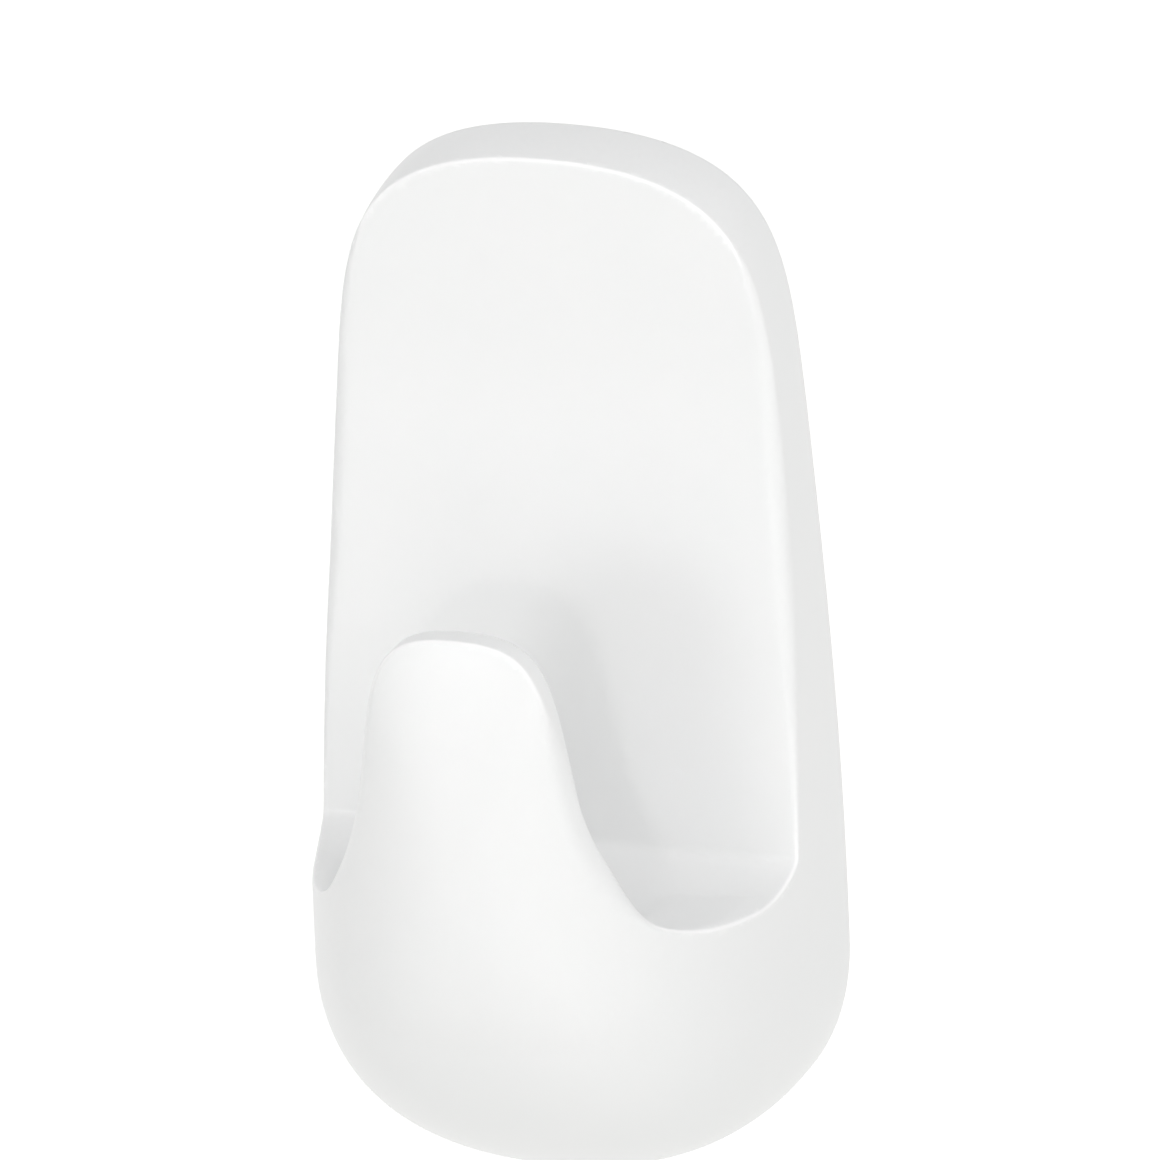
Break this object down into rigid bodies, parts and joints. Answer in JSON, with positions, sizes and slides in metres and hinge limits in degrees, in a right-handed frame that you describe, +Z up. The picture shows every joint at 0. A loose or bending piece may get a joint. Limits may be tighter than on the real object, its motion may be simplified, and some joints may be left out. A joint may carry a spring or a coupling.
{
  "type": "adhesive wall hook",
  "caption": "White moulded wall hook with an egg-shaped cup and a tongue before a tall back panel, sliding onto a base plate held by a stretch-release adhesive strip.",
  "frame": {"origin": "middle of the adhesive strip's bonded face, on the wall", "axes": "+X to the right seen from the room, +Y into the wall, +Z up along the wall"},
  "size_m": [0.038, 0.0317, 0.0785],
  "materials": {
    "hook_plastic": "satin injection-moulded white ABS",
    "plate_plastic": "matt injection-moulded white ABS",
    "adhesive": "milky elastomer adhesive, slightly glossy",
    "tab_film": "thin pale blue polyester film"
  },
  "bodies": {
    "wall_side": {"base_plate": "plate_plastic", "adhesive_strip": "adhesive"},
    "hook": {"hook_shell": "hook_plastic"},
    "pull_tab": {"tab_film_front": "tab_film", "tab_film_back": "tab_film"}
  },
  "joints": [
    {"name": "hook_lift", "type": "slide", "parent": "wall_side", "child": "hook", "axis": [0, 0, 1], "range_m": [0, 0.01]},
    {"name": "tab_pull", "type": "slide", "parent": "wall_side", "child": "pull_tab", "axis": [0, 0, -1], "range_m": [0, 0.15], "deforming": ["adhesive_strip"]}
  ]
}
